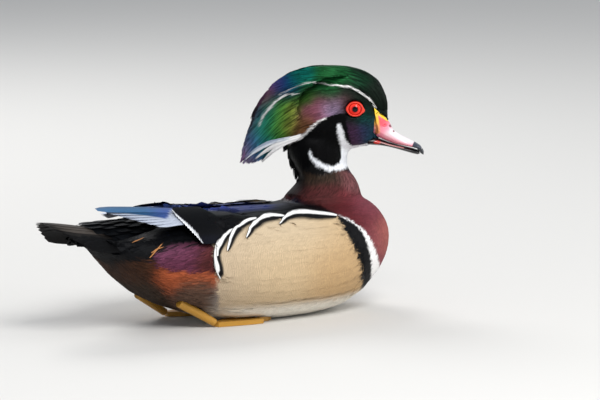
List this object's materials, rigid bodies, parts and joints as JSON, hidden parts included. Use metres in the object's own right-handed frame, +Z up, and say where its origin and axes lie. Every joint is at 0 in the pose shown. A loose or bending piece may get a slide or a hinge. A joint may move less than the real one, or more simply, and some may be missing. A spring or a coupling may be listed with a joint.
{
  "type": "wood duck",
  "caption": "Life-size drake wood duck at rest on its belly, crested head turned to its right, wings folded, tail raised a little, feet tucked under.",
  "frame": {"origin": "on the floor plane, in the flat of the belly on which the bird sits", "axes": "+X forward from the tail to the breast, +Y to the bird's left, +Z up from the floor"},
  "size_m": [0.3315, 0.1286, 0.1863],
  "materials": {
    "breast_feathers": "chestnut feathers with a soft sheen",
    "belly_feathers": "off-white down",
    "rump_feathers": "dark maroon feathers",
    "black_feathers": "glossy black feathers",
    "green_feathers": "iridescent green feathers",
    "wing_feathers": "blue-black feathers with sheen",
    "flank_feathers": "buff feathers with fine dark lines",
    "bill_skin": "smooth red, white and yellow bill skin",
    "bill_horn": "black horn",
    "eye": "wet gloss",
    "eyelid": "bare orange-red skin",
    "foot_skin": "scaled yellow-brown skin"
  },
  "bodies": {
    "root": {"breast": "breast_feathers", "torso": "belly_feathers", "rump": "rump_feathers", "neck": "black_feathers", "head": "green_feathers", "crest": "green_feathers", "bill_upper": "bill_skin", "bill_lower": "bill_horn", "bill_nail": "bill_horn", "tail": "black_feathers", "tail_coverts": "black_feathers", "eye_right": "eye", "eye_left": "eye", "eyelid_right": "eyelid", "eyelid_left": "eyelid", "wing_right": "wing_feathers", "wing_left": "wing_feathers", "flank_right": "flank_feathers", "flank_left": "flank_feathers", "leg_right": "foot_skin", "leg_left": "foot_skin", "foot_right": "foot_skin", "foot_left": "foot_skin"}
  },
  "joints": []
}
